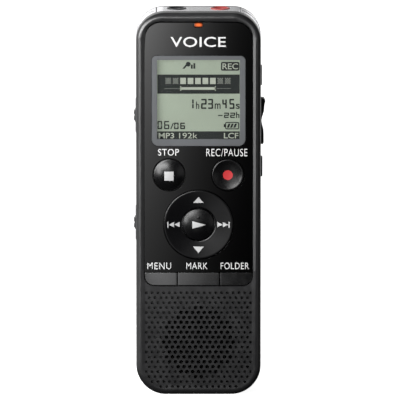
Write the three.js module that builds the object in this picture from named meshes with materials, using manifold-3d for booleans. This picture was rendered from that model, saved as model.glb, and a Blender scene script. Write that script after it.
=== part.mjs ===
// Handheld voice recorder: a pocket solid-state recorder with a front window, keys and speaker grille,
// two jacks and two microphones in a metal-look cap, side switches, and a hinged lid over two AAA cells.
// Millimetres. +X right, +Y towards the back, +Z up. The origin is on the bottom end, midway through
// the depth.
import * as THREE from "three";
import { mergeVertices } from "three/addons/utils/BufferGeometryUtils.js";
import Module from "manifold-3d";

const wasm = await Module();
wasm.setup();

// ---------------------------------------------------------------- driving dimensions
const BODY = { halfW: 18.4, h: 114, front: -10.5, back: 10.5, split: 3.4, wall: 1.5, edge: 1.5 };
const BACK_EDGE = { depth: 6.9, size: 4.5 }; // the elliptical rounding of the back
const CORNER = { top: 8.2, bottom: 8.8 };
const GAP = 0.2; // between neighbouring pieces
const QUARTER = 3; // curveSegments: six chords to a quarter circle

const RECESS = { halfW: 16.05, bottom: 32.6, top: 111.75, floor: -8.7, under: -7.9 };
const PANEL = { halfW: 15.9, bottom: 36.75, top: 111.5, front: -10.2, back: -8.9, corner: 4.9 };
const SCREEN = { z: 87.9, halfW: 13.85, halfH: 13.5, corner: 1.5 };
const LCD = { halfW: 12.25, top: 100.1, bottom: 76.4, frameHalfW: 14.2, frameHalfH: 13.9 };
const ROUND_KEY = { x: 8.66, z: 65.85, r: 4.67 };
const RING = { z: 50.95, r: 10.1, bore: 5.0, tip: -10.35 };
const PLAY = { r: 4.7 };
const KEY_ROW = { bottom: 32.85, top: 36.5, outer: 15.85, inner: 6.45, middle: 6.1 };
const LAMP = { z: 110.5, halfW: 1.25, halfH: 0.6 };
const GRILLE = { z: 15.8, r: 10.65, pitch: 1.71, holeR: 0.5, firstRow: 30.6 };
const CAP = { front: -5.9, bottom: 103.4, wall: 1.2, seam: 12.3 };
const JACK = { x: 6.46, boreR: 1.8, collarR: 2.9, top: 114.2 };
const MIC = { angle: 45, out: 5.2, slitHalf: 0.45, y: -1.5 };
const SLIDE = { y: -1.0, halfY: 1.4, travel: 1.5, halfSlot: 6.6, zHold: 82.3, zSpeed: 50.2 };
const ROCKER = { z: 80.65, halfZ: 6.85, halfY: 1.6 };
const SIDE_KEY = { halfY: 1.4, halfZ: 2.95, zUpper: 94.25, zLower: 67.0 };
const USB = { z: 69.5, halfZ: 3.85, y: -1.35, halfY: 1.95 };
const STRAP = { z: 101.65, halfZ: 1.25, y: -0.9, halfY: 2.7 };
const BOARD = { front: -4.4, back: -3.4, halfW: 16.4, bottom: 10.4, top: 99.2 };
const MAT = { front: -6.5, back: -5.9 };
const BAY = { halfW: 11.2, floor: -1.8, bottom: 14.0, top: 63.2, wall: 1.7 };
const SPRING = { turns: 3, footR: 3.6, tipR: 2.2, height: 2.3, wireR: 0.25 };
const CELL = { r: 5.25, length: 44.5, nubR: 1.9, nub: 0.8, x: 5.45, y: 3.6 };
const LID = { halfW: 12.4, bottom: 12.0, top: 64.4, inner: 9.3, hingeZ: 13.2, barrelR: 1.2 };
const BOSSES = [
  ["top_left", -12.2, 104.0],
  ["top_right", 12.2, 104.0],
  ["bottom_left", -11.8, 7.8],
  ["bottom_right", 11.8, 7.8],
];

// ---------------------------------------------------------------- shapes
// A closed outline in the XZ plane: a rectangle with its own corner radius at the bottom and at the top.
function outline(x0, x1, z0, z1, rBottom, rTop = rBottom) {
  const s = new THREE.Shape();
  const corner = (cx, cz, r, from) => s.absarc(cx, cz, r, from, from + Math.PI / 2, false);
  corner(x1 - rBottom, z0 + rBottom, rBottom, -Math.PI / 2);
  corner(x1 - rTop, z1 - rTop, rTop, 0);
  corner(x0 + rTop, z1 - rTop, rTop, Math.PI / 2);
  corner(x0 + rBottom, z0 + rBottom, rBottom, Math.PI);
  s.closePath();
  return s;
}

// The body's outline, drawn in by a distance.
function bodyOutline(inset = 0) {
  const halfW = BODY.halfW - inset;
  const [rBottom, rTop] = [CORNER.bottom - inset, CORNER.top - inset];
  return outline(-halfW, halfW, inset, BODY.h - inset, rBottom, rTop);
}

// An XZ outline made a slab between two depths, with both faces' edges rounded by round if that is given.
// The rounding may reach further in depth than across.
function slab(shape, front, back, round = 0, steps = 3, roundDepth = round) {
  const options = { depth: back - front, curveSegments: QUARTER, bevelEnabled: round > 0 };
  if (round > 0) {
    options.depth -= 2 * roundDepth;
    options.bevelThickness = roundDepth;
    options.bevelSize = round;
    options.bevelOffset = -round;
    options.bevelSegments = steps;
  }
  return new THREE.ExtrudeGeometry(shape, options)
    .rotateX(Math.PI / 2)
    .translate(0, back - roundDepth, 0);
}

function box(x0, x1, y0, y1, z0, z1) {
  return new THREE.BoxGeometry(x1 - x0, y1 - y0, z1 - z0).translate(
    (x0 + x1) / 2,
    (y0 + y1) / 2,
    (z0 + z1) / 2,
  );
}

// A round bar along Y between two depths.
function barY(x, z, r, front, back, sides = 20) {
  const bar = new THREE.CylinderGeometry(r, r, back - front, sides);
  return bar.translate(x, (front + back) / 2, z);
}

// A round bar along Z between two heights.
function barZ(x, y, r, bottom, top, sides = 16) {
  const bar = new THREE.CylinderGeometry(r, r, top - bottom, sides).rotateX(Math.PI / 2);
  return bar.translate(x, y, (bottom + top) / 2);
}

// A round bar along X between two sides.
function barX(y, z, r, left, right, sides = 12) {
  const bar = new THREE.CylinderGeometry(r, r, right - left, sides).rotateZ(Math.PI / 2);
  return bar.translate((left + right) / 2, y, z);
}

// A turned solid about the Y axis. The profile is [radius, y] pairs, given from the back to the front.
function turned(profile, sides = 24) {
  const points = [...profile].reverse().map(([r, y]) => new THREE.Vector2(r, y));
  return new THREE.LatheGeometry(points, sides);
}

// The same about the Z axis. The profile is [radius, z] pairs, given from the bottom to the top.
function turnedZ(profile, sides = 20) {
  const points = profile.map(([r, z]) => new THREE.Vector2(r, z));
  return new THREE.LatheGeometry(points, sides).rotateX(Math.PI / 2);
}

// ---------------------------------------------------------------- joining and cutting
function solid(geometry) {
  const bare = geometry.clone();
  bare.deleteAttribute("normal");
  bare.deleteAttribute("uv");
  const merged = mergeVertices(bare, 1e-4);
  return new wasm.Manifold(
    new wasm.Mesh({
      numProp: 3,
      vertProperties: new Float32Array(merged.attributes.position.array),
      triVerts: new Uint32Array(merged.index.array),
    }),
  );
}

const joined = (...pieces) => pieces.map(solid).reduce((a, b) => a.add(b));
const cut = (body, ...cutters) => cutters.map(solid).reduce((a, b) => a.subtract(b), body);

function geometryOf(body) {
  const mesh = body.getMesh();
  const geometry = new THREE.BufferGeometry();
  geometry.setAttribute("position", new THREE.BufferAttribute(mesh.vertProperties, 3));
  geometry.setIndex(new THREE.BufferAttribute(mesh.triVerts, 1));
  const flat = geometry.toNonIndexed();
  flat.computeVertexNormals();
  return flat;
}

// ---------------------------------------------------------------- materials
const finish = (color, roughness, metalness = 0) => ({ color, roughness, metalness });
const FINISHES = {
  case_black: finish(0x2b2b2d, 0.5),
  gloss_black: finish(0x08080a, 0.08),
  key_black: finish(0x111112, 0.25),
  window: finish(0xdfe6e0, 0.03),
  screen_grey: finish(0x7d8083, 0.5),
  screen_green: finish(0xa9b79a, 0.3),
  white_plastic: finish(0xe6e6e2, 0.6),
  lamp_orange: finish(0xe8601c, 0.3),
  silver: finish(0xc9cacc, 0.25, 0.9),
  jack_black: finish(0x161616, 0.35),
  jack_red: finish(0xb0383a, 0.35),
  rubber: finish(0x2a2a2c, 0.85),
  board_green: finish(0x1f4a33, 0.5),
  chip_black: finish(0x1a1a1c, 0.6),
  spring_steel: finish(0xbfc2c4, 0.3, 1),
  cell_jacket: finish(0x3c4654, 0.35, 0.3),
  cloth_black: finish(0x0c0c0c, 0.95),
};

// One named sub-part of the recorder, made from a geometry or a cut solid, at its place in a group.
function add(group, name, finishName, shape, x = 0, y = 0, z = 0) {
  const geometry = shape.isBufferGeometry ? shape : geometryOf(shape);
  const material = new THREE.MeshStandardMaterial(FINISHES[finishName]);
  material.name = finishName;
  const mesh = new THREE.Mesh(geometry, material);
  mesh.name = name;
  mesh.position.set(x, y, z);
  group.add(mesh);
  return mesh;
}

// ---------------------------------------------------------------- speaker grille
// Centres of the sound holes: a triangular grid, kept inside the circle in front of the speaker.
function grilleHoles() {
  const rowStep = GRILLE.pitch * Math.sin(Math.PI / 3);
  const holes = [];
  for (let row = 0; row < 20; row++) {
    const z = GRILLE.firstRow - row * rowStep;
    const shift = row % 2 ? GRILLE.pitch / 2 : 0;
    for (let column = -9; column <= 9; column++) {
      const x = column * GRILLE.pitch + shift;
      if (Math.hypot(x, z - GRILLE.z) < GRILLE.r) holes.push([x, z]);
    }
  }
  return holes;
}

// ---------------------------------------------------------------- cases
// The front case: bezel, speaker grille, side walls, and the sunken floor that carries the window panel.
function frontCase() {
  const { front, split, wall } = BODY;
  const beyond = split + 5;
  let body = solid(slab(bodyOutline(), front, beyond, BODY.edge));
  body = cut(body, slab(bodyOutline(wall), front + wall, beyond + 1));
  body = cut(body, box(-20, 20, split, beyond + 1, -1, 115));
  body = body.add(solid(box(-17.2, 17.2, front + 1.3, RECESS.under, 31.2, 108)));
  body = body.add(solid(box(-11, 11, front + 1.3, RECESS.under, 107, 113)));
  for (const [, x, z] of BOSSES) {
    body = body.add(solid(barY(x, z, 1.9, z > 50 ? RECESS.under - 0.2 : front + 1, 3.2, 10)));
  }
  // strap pocket at the left shoulder, crossed by a bar
  const strapZ = [STRAP.z - STRAP.halfZ, STRAP.z + STRAP.halfZ];
  const strapY = [STRAP.y - STRAP.halfY, STRAP.y + STRAP.halfY];
  const pocket = box(-17.1, -15.2, strapY[0] - 0.8, strapY[1] + 0.7, strapZ[0] - 0.9, 103.2);
  body = body.add(solid(pocket));
  body = cut(body, box(-19, -16.1, ...strapY, ...strapZ));
  body = body.add(solid(barZ(-17.7, STRAP.y, 0.55, strapZ[0] - 0.2, strapZ[1] + 0.2, 10)));
  const keySlot = (z) =>
    box(16, 19, SLIDE.y - SIDE_KEY.halfY - GAP, SLIDE.y + SIDE_KEY.halfY + GAP,
      z - SIDE_KEY.halfZ - GAP, z + SIDE_KEY.halfZ + GAP);
  const slideSlot = (z) =>
    box(-19, -16, SLIDE.y - SLIDE.halfY - GAP, SLIDE.y + SLIDE.halfY + GAP,
      z - SLIDE.halfSlot, z + SLIDE.halfSlot);
  const { halfW, bottom, top, floor } = RECESS;
  const row = [KEY_ROW.bottom - GAP, KEY_ROW.top + 0.1];
  return cut(
    body,
    slab(outline(-halfW, halfW, bottom, top, 3, 5), front - 1, floor),
    slab(outline(-14.4, 14.4, SCREEN.z - 14.1, SCREEN.z + 14.1, 0.5), floor - 1, -7),
    barY(-ROUND_KEY.x, ROUND_KEY.z, 4.98, floor - 1, -7, 20),
    barY(ROUND_KEY.x, ROUND_KEY.z, 4.98, floor - 1, -7, 20),
    barY(0, RING.z, 10.48, floor - 1, -7, 32),
    box(-15.95, 15.95, floor - 1, -7, ...row),
    barY(0, LAMP.z, 0.9, floor - 1, -7, 8),
    box(-20, 20, CAP.front - GAP, split + 1, CAP.bottom - GAP, 115),
    slideSlot(SLIDE.zHold),
    slideSlot(SLIDE.zSpeed),
    keySlot(SIDE_KEY.zUpper),
    keySlot(SIDE_KEY.zLower),
    box(16, 19, SLIDE.y - ROCKER.halfY - GAP, SLIDE.y + ROCKER.halfY + GAP,
      ROCKER.z - ROCKER.halfZ - 0.3, ROCKER.z + ROCKER.halfZ + 0.3),
    box(-19, -16, USB.y - USB.halfY - 0.15, USB.y + USB.halfY + 0.15,
      USB.z - USB.halfZ - 0.15, USB.z + USB.halfZ + 0.15),
    ...BOSSES.map(([, x, z]) => barY(x, z, 0.95, -4, 4, 8)),
    ...grilleHoles().map(([x, z]) => barY(x, z, GRILLE.holeR, front - 1, front + 3, 5)),
  );
}

// The back case: outer shell, the tub that holds the cells, the lid's seat and hinge bearings, screw posts.
function backCase() {
  const { back, wall, split } = BODY;
  const start = split + GAP;
  const { depth, size } = BACK_EDGE;
  const inside = [back - wall, size - 1.1, 3, depth - wall];
  let body = solid(slab(bodyOutline(), start - 12, back, size, 4, depth));
  body = cut(body, slab(bodyOutline(wall), start - 13, ...inside));
  body = cut(body, box(-20, 20, -12, start, -1, 115));
  const tubHalf = BAY.halfW + BAY.wall;
  body = body.add(solid(box(-tubHalf, tubHalf, BAY.floor - 1.1, back - 1, 10.6, 65.4)));
  for (const side of [-1, 1]) {
    const [a, b] = [side * 12.8, side * 14.4].sort((p, q) => p - q);
    body = body.add(solid(box(a, b, 7.6, 9.6, 11.4, 15.0)));
  }
  for (const [, x, z] of BOSSES) body = body.add(solid(barY(x, z, 2.2, start, back - 1, 12)));
  const seat = LID.inner - 0.1;
  const openHalf = LID.halfW + GAP;
  return cut(
    body,
    box(-BAY.halfW, BAY.halfW, BAY.floor, back + 1, BAY.bottom, BAY.top),
    box(-openHalf, openHalf, seat, back + 1, LID.bottom - GAP, LID.top + 0.3),
    box(-openHalf, openHalf, 7.9, back + 1, LID.bottom - GAP, BAY.bottom + 0.6),
    barX(LID.inner, LID.hingeZ, 0.75, -13.7, 13.7, 12),
    ...BOSSES.map(([, x, z]) => barY(x, z, 1.0, start - 1, back + 1, 12)),
    ...BOSSES.map(([, x, z]) => barY(x, z, 1.75, back - 1.1, back + 1, 14)),
  );
}

// The lid: a flat plate on a rounded hinge barrel with two trunnions, thumb grooves and a latch tab.
function batteryLid() {
  const { halfW, top, inner, hingeZ, barrelR } = LID;
  const plate = slab(outline(-halfW, halfW, hingeZ, top, 0.05, 1.5), inner, BODY.back);
  const barrel = barX(inner, hingeZ, barrelR, -halfW, halfW, 16);
  const trunnions = barX(inner, hingeZ, 0.6, -halfW - 1, halfW + 1, 12);
  const latch = box(-2, 2, inner - 1.5, inner + 0.5, top - 2.4, top - 1.5);
  const body = joined(plate, barrel, trunnions, latch);
  const grooves = [0, 1, 2, 3].map((n) =>
    box(-4.5, 4.5, BODY.back - 0.35, BODY.back + 1, top - 4.2 - n * 1.3, top - 3.6 - n * 1.3),
  );
  return cut(body, ...grooves);
}

// ---------------------------------------------------------------- window, screen and lamp
function frontPanel() {
  const { halfW, bottom, top, front, back, corner } = PANEL;
  const body = solid(slab(outline(-halfW, halfW, bottom, top, 0.3, corner), front, back));
  const hole = (x, z, r, sides) => barY(x, z, r, front - 1, back + 1, sides);
  const { halfW: sw, halfH: sh, corner: sc, z } = SCREEN;
  return cut(
    body,
    slab(outline(-sw, sw, z - sh, z + sh, sc), front - 1, back + 1),
    hole(-ROUND_KEY.x, ROUND_KEY.z, 4.98, 24),
    hole(ROUND_KEY.x, ROUND_KEY.z, 4.98, 24),
    hole(0, RING.z, 10.48, 36),
    box(-LAMP.halfW - 0.15, LAMP.halfW + 0.15, front - 1, back + 1,
      LAMP.z - LAMP.halfH - 0.15, LAMP.z + LAMP.halfH + 0.15),
  );
}

function displayWindow() {
  const { halfW, halfH, corner, z } = SCREEN;
  const inset = 0.1;
  const shape = outline(-halfW + inset, halfW - inset, z - halfH + inset, z + halfH - inset, corner);
  return slab(shape, PANEL.front + 0.02, PANEL.back - 0.1);
}

// The grey mask round the screen, with the screen's own opening.
function lcdFrame() {
  const { frameHalfW, frameHalfH, halfW, top, bottom } = LCD;
  const shape = outline(-frameHalfW, frameHalfW, SCREEN.z - frameHalfH, SCREEN.z + frameHalfH, 0.4);
  const body = solid(slab(shape, RECESS.floor, RECESS.floor + 0.7));
  return cut(body, box(-halfW, halfW, -12, 0, bottom, top));
}

function lampLens() {
  const { halfW, halfH, z } = LAMP;
  const face = slab(outline(-halfW, halfW, z - halfH, z + halfH, 0.3), -10.15, RECESS.floor - 0.1);
  return joined(face, barY(0, z, 0.55, RECESS.floor - 0.5, -5.1, 10));
}

// ---------------------------------------------------------------- front keys
// A point list along a shallow arc from the axis out to a rim: [radius, y], with the middle at yMid.
function crown(rimR, yRim, yMid, steps = 3) {
  const points = [];
  for (let i = steps; i >= 0; i--) {
    const t = i / steps;
    points.push([rimR * t, yMid + (yRim - yMid) * t * t]);
  }
  return points;
}

// A round key: flange behind the floor, straight side, and a domed (or dished) face.
function roundKey(r, yRim, yMid, flange = true) {
  const skirt = flange
    ? [[0, -7.15], [5.35, -7.15], [5.35, -7.75], [r, -7.75]]
    : [[0, -5.35], [2.4, -5.35], [2.4, -7.0], [r, -7.0]];
  return turned([...skirt, [r, yRim + 0.25], ...crown(r - 0.2, yRim, yMid)]);
}

// The four-way ring: dished face round a bore, with a retaining flange behind.
function controlRing() {
  const { r, bore, tip } = RING;
  const middle = (r + bore) / 2;
  return turned(
    [
      [bore, -6.95], [10.55, -6.95], [10.55, -7.45], [r, -7.45],
      [r, tip + 0.3], [r - 0.25, tip], [middle + 1.2, tip + 0.4], [middle, tip + 0.48],
      [middle - 1.2, tip + 0.4], [bore + 0.2, tip + 0.15], [bore, tip + 0.35], [bore, -6.95],
    ],
    32,
  );
}

// The rubber actuator under the ring, with a nub over each of its four switches.
function ringActuator() {
  const body = solid(
    turned([[5.4, -5.75], [9.2, -5.75], [9.2, -6.6], [5.4, -6.6], [5.4, -5.75]], 20),
  );
  const nubs = [[0, 1], [1, 0], [0, -1], [-1, 0]];
  return nubs.reduce(
    (whole, [x, z]) => whole.add(solid(barY(x * 7.45, z * 7.45, 0.9, -6.0, -5.25, 8))),
    body,
  );
}

// A key of the bottom row: a bar with its outer bottom corner rounded, and a flange behind the floor.
function rowKey(x0, x1, leftR, rightR) {
  const { bottom, top } = KEY_ROW;
  const s = new THREE.Shape();
  s.moveTo(x0, top);
  s.absarc(x0 + leftR, bottom + leftR, leftR, Math.PI, Math.PI * 1.5, false);
  s.absarc(x1 - rightR, bottom + rightR, rightR, -Math.PI / 2, 0, false);
  s.lineTo(x1, top);
  s.closePath();
  const flange = box(x0 + 0.15, x1 - 0.15, -7.75, -7.2, bottom - 0.8, top + 0.8);
  return joined(slab(s, -10.25, -7.4), flange);
}

// The silicone mat over the switches, with a plunger under each key that has no stem of its own.
function keypadMat() {
  const rowZ = (KEY_ROW.bottom + KEY_ROW.top) / 2;
  const keys = [
    [-ROUND_KEY.x, ROUND_KEY.z], [ROUND_KEY.x, ROUND_KEY.z],
    [-11, rowZ], [0, rowZ], [11, rowZ],
  ];
  const sheet = solid(box(-16, 16, MAT.front, MAT.back, 31.6, 72.5));
  const plungers = keys.map(([x, z]) => barY(x, z, 1.3, MAT.back - 0.2, -5.1, 8));
  const whole = plungers.reduce((body, plunger) => body.add(solid(plunger)), sheet);
  return cut(whole, barY(0, RING.z, 10.0, -8, 0, 24));
}

function domeSheet() {
  const keys = [
    [-ROUND_KEY.x, ROUND_KEY.z], [ROUND_KEY.x, ROUND_KEY.z], [0, RING.z],
    [-11, 34.7], [0, 34.7], [11, 34.7],
    [0, RING.z + 7.45], [0, RING.z - 7.45], [7.45, RING.z], [-7.45, RING.z],
  ];
  const sheet = solid(box(-15.5, 15.5, -4.62, -4.5, 32, 72));
  return keys.reduce((body, [x, z]) => body.add(solid(barY(x, z, 2, -4.9, -4.5, 8))), sheet);
}

// ---------------------------------------------------------------- metal-look cap, jacks and microphones
function capBand() {
  const back = BODY.split;
  const ring = cut(
    solid(slab(bodyOutline(), CAP.front, back)),
    slab(bodyOutline(CAP.wall), CAP.front - 1, back + 1),
  );
  return cut(ring, box(-20, 20, -12, 12, -1, CAP.bottom));
}

function jackPlate() {
  const plate = cut(
    capBand(),
    box(-20, -CAP.seam, -12, 12, 90, 116),
    box(CAP.seam, 20, -12, 12, 90, 116),
  );
  return cut(plate, ...[-1, 1].map((s) => barZ(s * JACK.x, 0, JACK.collarR + 0.12, 110, 116, 24)));
}

// A corner of the cap, with the slit that lets sound through to the microphone behind it.
function micTrim(side) {
  const [a, b] = side < 0 ? [-CAP.seam - GAP, 20] : [-20, CAP.seam + GAP];
  const centre = [side * (BODY.halfW - CORNER.top), BODY.h - CORNER.top];
  const slit = new THREE.Shape();
  const [from, to] = side < 0 ? [Math.PI * 0.6, Math.PI * 0.93] : [Math.PI * 0.07, Math.PI * 0.4];
  slit.absarc(...centre, CORNER.top + 1, from, to, false);
  slit.absarc(...centre, CORNER.top - CAP.wall - 0.5, to, from, true);
  slit.closePath();
  return cut(
    capBand(),
    box(a, b, -12, 12, 90, 116),
    slab(slit, MIC.y - MIC.slitHalf, MIC.y + MIC.slitHalf),
  );
}

// A group on the diagonal of a top corner, its own Z pointing out of the corner.
function cornerGroup(side) {
  const slant = (MIC.angle * Math.PI) / 180;
  const group = new THREE.Group();
  group.rotation.y = side * slant;
  group.position.set(
    side * (BODY.halfW - CORNER.top + MIC.out * Math.sin(slant)),
    MIC.y,
    BODY.h - CORNER.top + MIC.out * Math.cos(slant),
  );
  return group;
}

const micCapsule = () => barZ(0, 0, 2.0, -0.8, 0.8, 16);

// The rubber cup that holds a capsule.
const micBoot = () =>
  turnedZ([[0, -1.9], [2.6, -1.9], [2.6, 1.0], [2.15, 1.0], [2.15, -1.0], [0, -1.0]], 14);

// A jack's collar: a short ring with a funnel mouth that stands a little proud of the plate.
function jackCollar() {
  const { collarR, boreR, top } = JACK;
  const profile = [
    [boreR, 111.9], [collarR, 111.9], [collarR, top - 0.2], [collarR - 0.2, top],
    [boreR + 0.5, top], [boreR, top - 0.6], [boreR, 111.9],
  ];
  return turnedZ(profile, 20);
}

function jackSocket() {
  return cut(solid(box(-3.3, 3.3, -3.2, 3.2, 98.5, 111.7)), barZ(0, 0, JACK.boreR, 99.6, 113, 16));
}

// ---------------------------------------------------------------- side controls and sockets
// A slide switch's cap: a plate that fills the slot's width, a finger ridge, and a flange inside the wall.
function slider() {
  const depth = [-SLIDE.halfY, SLIDE.halfY];
  const ridge = new THREE.Shape();
  ridge.moveTo(-18.5, 1.9);
  ridge.lineTo(-19.1, 1.2);
  ridge.lineTo(-19.1, -1.2);
  ridge.lineTo(-18.5, -1.9);
  ridge.closePath();
  const plate = box(-18.6, -16.5, ...depth, -5, 5);
  const flange = box(-16.7, -16.0, -2.2, 2.2, -5, 5);
  return joined(plate, slab(ridge, ...depth), flange);
}

// The volume rocker: two lobes with a saddle between them, the upper lobe ending in a nib.
function volumeRocker() {
  const { halfZ, halfY } = ROCKER;
  const s = new THREE.Shape();
  s.moveTo(16.2, -halfZ);
  s.lineTo(19.0, -halfZ);
  s.lineTo(19.25, 0.3 - halfZ);
  s.lineTo(19.25, -2.6);
  s.quadraticCurveTo(18.9, -1.6, 18.6, -0.9);
  s.quadraticCurveTo(18.4, 0, 18.6, 0.9);
  s.quadraticCurveTo(18.9, 1.6, 19.35, 2.6);
  s.lineTo(19.4, 5.2);
  s.lineTo(19.75, 5.9);
  s.lineTo(19.2, halfZ);
  s.lineTo(16.2, halfZ);
  s.closePath();
  const flange = box(15.7, 16.4, -2.2, 2.2, -halfZ, halfZ);
  return joined(slab(s, -halfY, halfY), flange);
}

function sideKey(proud) {
  const { halfY, halfZ } = SIDE_KEY;
  const cap = box(16.5, BODY.halfW + proud, -halfY, halfY, -halfZ, halfZ);
  const flange = box(16.0, 16.7, -2.2, 2.2, -halfZ - 0.5, halfZ + 0.5);
  return joined(cap, flange);
}

// The data socket: a metal shell, open at the side of the case, with its contact tongue.
function usbSocket() {
  const { halfZ, halfY } = USB;
  const shell = solid(box(-18.2, -9.2, -halfY, halfY, -halfZ, halfZ));
  const mouth = box(-19, -10.2, 0.4 - halfY, halfY - 0.4, 0.4 - halfZ, halfZ - 0.4);
  const tongue = box(-17.2, -9.8, -0.35, 0.35, -2.6, 2.6);
  return cut(shell, mouth).add(solid(tongue));
}

// ---------------------------------------------------------------- electronics and speaker
function mainBoard() {
  const { front, back, halfW, bottom, top } = BOARD;
  const wide = box(-halfW, halfW, front, back, bottom, top);
  const neck = box(-10, 10, front, back, top - 1, 112.2);
  return joined(wide, neck);
}

function speakerFrame() {
  const back = -5.9;
  const profile = [
    [6.2, back], [8.2, back], [10.1, -7.4], [10.1, -8.6],
    [9.4, -8.6], [9.4, -7.5], [7.9, back - 0.5], [6.2, back - 0.5], [6.2, back],
  ];
  return turned(profile, 20);
}

const speakerCone = () =>
  turned(
    [
      [0, -7.5], [3.4, -7.0], [8.9, -7.9], [9.2, -7.9],
      [9.2, -8.1], [8.9, -8.1], [3.4, -7.2], [0, -7.7],
    ],
    20,
  );

// ---------------------------------------------------------------- cells and contacts
// One AAA cell with its terminal nub at the top, or at the bottom if turned over.
function cell(nubUp) {
  const { r, length, nubR, nub } = CELL;
  const shoulder = length - nub;
  const heights = [0, 0.4, shoulder - 0.4, shoulder, shoulder, length];
  const radii = [r - 0.4, r, r, r - 0.4, nubR, nubR];
  const up = [[0, 0], ...radii.map((radius, i) => [radius, heights[i]]), [0, length]];
  return turnedZ(nubUp ? up : up.map(([radius, h]) => [radius, length - h]).reverse(), 18);
}

// A conical coil of round wire, wide at its foot and narrow at its top.
class Coil extends THREE.Curve {
  getPoint(t) {
    const angle = 2 * Math.PI * SPRING.turns * t;
    const radius = THREE.MathUtils.lerp(SPRING.footR, SPRING.tipR, t);
    return new THREE.Vector3(radius * Math.cos(angle), radius * Math.sin(angle), SPRING.height * t);
  }
}

function batterySpring() {
  const wire = new THREE.Shape().absarc(0, 0, SPRING.wireR, 0, 2 * Math.PI, false);
  return new THREE.ExtrudeGeometry(wire, {
    extrudePath: new Coil(),
    steps: 24,
    curveSegments: 3,
    bevelEnabled: false,
  });
}

// A case screw: flat head in the back case, shank into the front case's boss.
function screw() {
  const head = BODY.back - 0.3;
  const profile = [
    [0, head], [1.5, head], [1.5, head - 0.7], [0.75, head - 0.7], [0.75, -3.4], [0, -3.6],
  ];
  const recess = (halfX, halfZ) => box(-halfX, halfX, head - 0.4, head + 1, -halfZ, halfZ);
  return cut(solid(turned(profile, 10)), recess(0.8, 0.16), recess(0.16, 0.8));
}

// ---------------------------------------------------------------- the assembly
const shell = new THREE.Group();
add(shell, "front_case", "case_black", frontCase());
add(shell, "back_case", "case_black", backCase());
add(shell, "battery_lid", "case_black", batteryLid());
for (const [where, x, z] of BOSSES) {
  add(shell, `case_screw_${where}`, "spring_steel", screw(), x, 0, z);
}

const display = new THREE.Group();
add(display, "front_panel", "gloss_black", frontPanel());
add(display, "display_window", "window", displayWindow());
add(display, "lcd_frame", "screen_grey", lcdFrame());
add(display, "lcd_glass", "screen_green", box(-13.7, 13.7, -7.9, -6.1, 74.6, 101.4));
add(display, "light_guide", "white_plastic", box(-13.5, 13.5, -6.0, -4.9, 74.8, 101.2));
add(display, "indicator_lens", "lamp_orange", lampLens());
add(display, "indicator_led", "white_plastic", box(-0.8, 0.8, -4.95, -4.5, -0.4, 0.4), 0, 0, LAMP.z);

const keys = new THREE.Group();
const { x: keyX, z: keyZ, r: keyR } = ROUND_KEY;
add(keys, "stop_button", "key_black", roundKey(keyR, -10.1, -10.75), -keyX, 0, keyZ);
add(keys, "record_button", "key_black", roundKey(keyR, -10.45, -9.8), keyX, 0, keyZ);
add(keys, "play_button", "key_black", roundKey(PLAY.r, -10.1, -10.85, false), 0, 0, RING.z);
add(keys, "control_ring", "key_black", controlRing(), 0, 0, RING.z);
add(keys, "ring_actuator", "rubber", ringActuator(), 0, 0, RING.z);
add(keys, "menu_button", "key_black", rowKey(-KEY_ROW.outer, -KEY_ROW.inner, 2.8, 0.1));
add(keys, "mark_button", "key_black", rowKey(-KEY_ROW.middle, KEY_ROW.middle, 0.1, 0.1));
add(keys, "folder_button", "key_black", rowKey(KEY_ROW.inner, KEY_ROW.outer, 0.1, 2.8));
add(keys, "keypad_mat", "rubber", keypadMat());
add(keys, "dome_sheet", "spring_steel", domeSheet());

const topEnd = new THREE.Group();
add(topEnd, "jack_plate", "silver", jackPlate());
add(topEnd, "headphone_collar", "jack_black", jackCollar(), -JACK.x);
add(topEnd, "microphone_collar", "jack_red", jackCollar(), JACK.x);
add(topEnd, "headphone_socket", "jack_black", jackSocket(), -JACK.x);
add(topEnd, "microphone_socket", "jack_black", jackSocket(), JACK.x);
for (const [side, word] of [[-1, "left"], [1, "right"]]) {
  const corner = cornerGroup(side);
  add(topEnd, `mic_trim_${word}`, "silver", micTrim(side));
  add(corner, `mic_capsule_${word}`, "spring_steel", micCapsule());
  add(corner, `mic_boot_${word}`, "rubber", micBoot());
  topEnd.add(corner);
}

// Everything along the two sides is centred on one line, a little in front of mid depth.
const sides = new THREE.Group();
sides.position.y = SLIDE.y;
const switchBody = (x0, x1, halfZ) => box(x0, x1, -2.3, 1.2, -halfZ, halfZ);
add(sides, "hold_slider", "case_black", slider(), 0, 0, SLIDE.zHold);
add(sides, "speed_slider", "case_black", slider(), 0, 0, SLIDE.zSpeed);
add(sides, "hold_switch", "chip_black", switchBody(-15.7, -13, 4), 0, 0, SLIDE.zHold);
add(sides, "speed_switch", "chip_black", switchBody(-15.7, -13, 4), 0, 0, SLIDE.zSpeed);
add(sides, "usb_socket", "spring_steel", usbSocket(), 0, USB.y - SLIDE.y, USB.z);
add(sides, "volume_rocker", "case_black", volumeRocker(), 0, 0, ROCKER.z);
add(sides, "volume_switch", "chip_black", switchBody(13, 15.2, 6), 0, 0, ROCKER.z);
add(sides, "upper_side_button", "case_black", sideKey(0.35), 0, 0, SIDE_KEY.zUpper);
add(sides, "lower_side_button", "case_black", sideKey(0.5), 0, 0, SIDE_KEY.zLower);
add(sides, "upper_side_switch", "chip_black", switchBody(13.2, 15.5, 2), 0, 0, SIDE_KEY.zUpper);
add(sides, "lower_side_switch", "chip_black", switchBody(13.2, 15.5, 2), 0, 0, SIDE_KEY.zLower);

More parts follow.
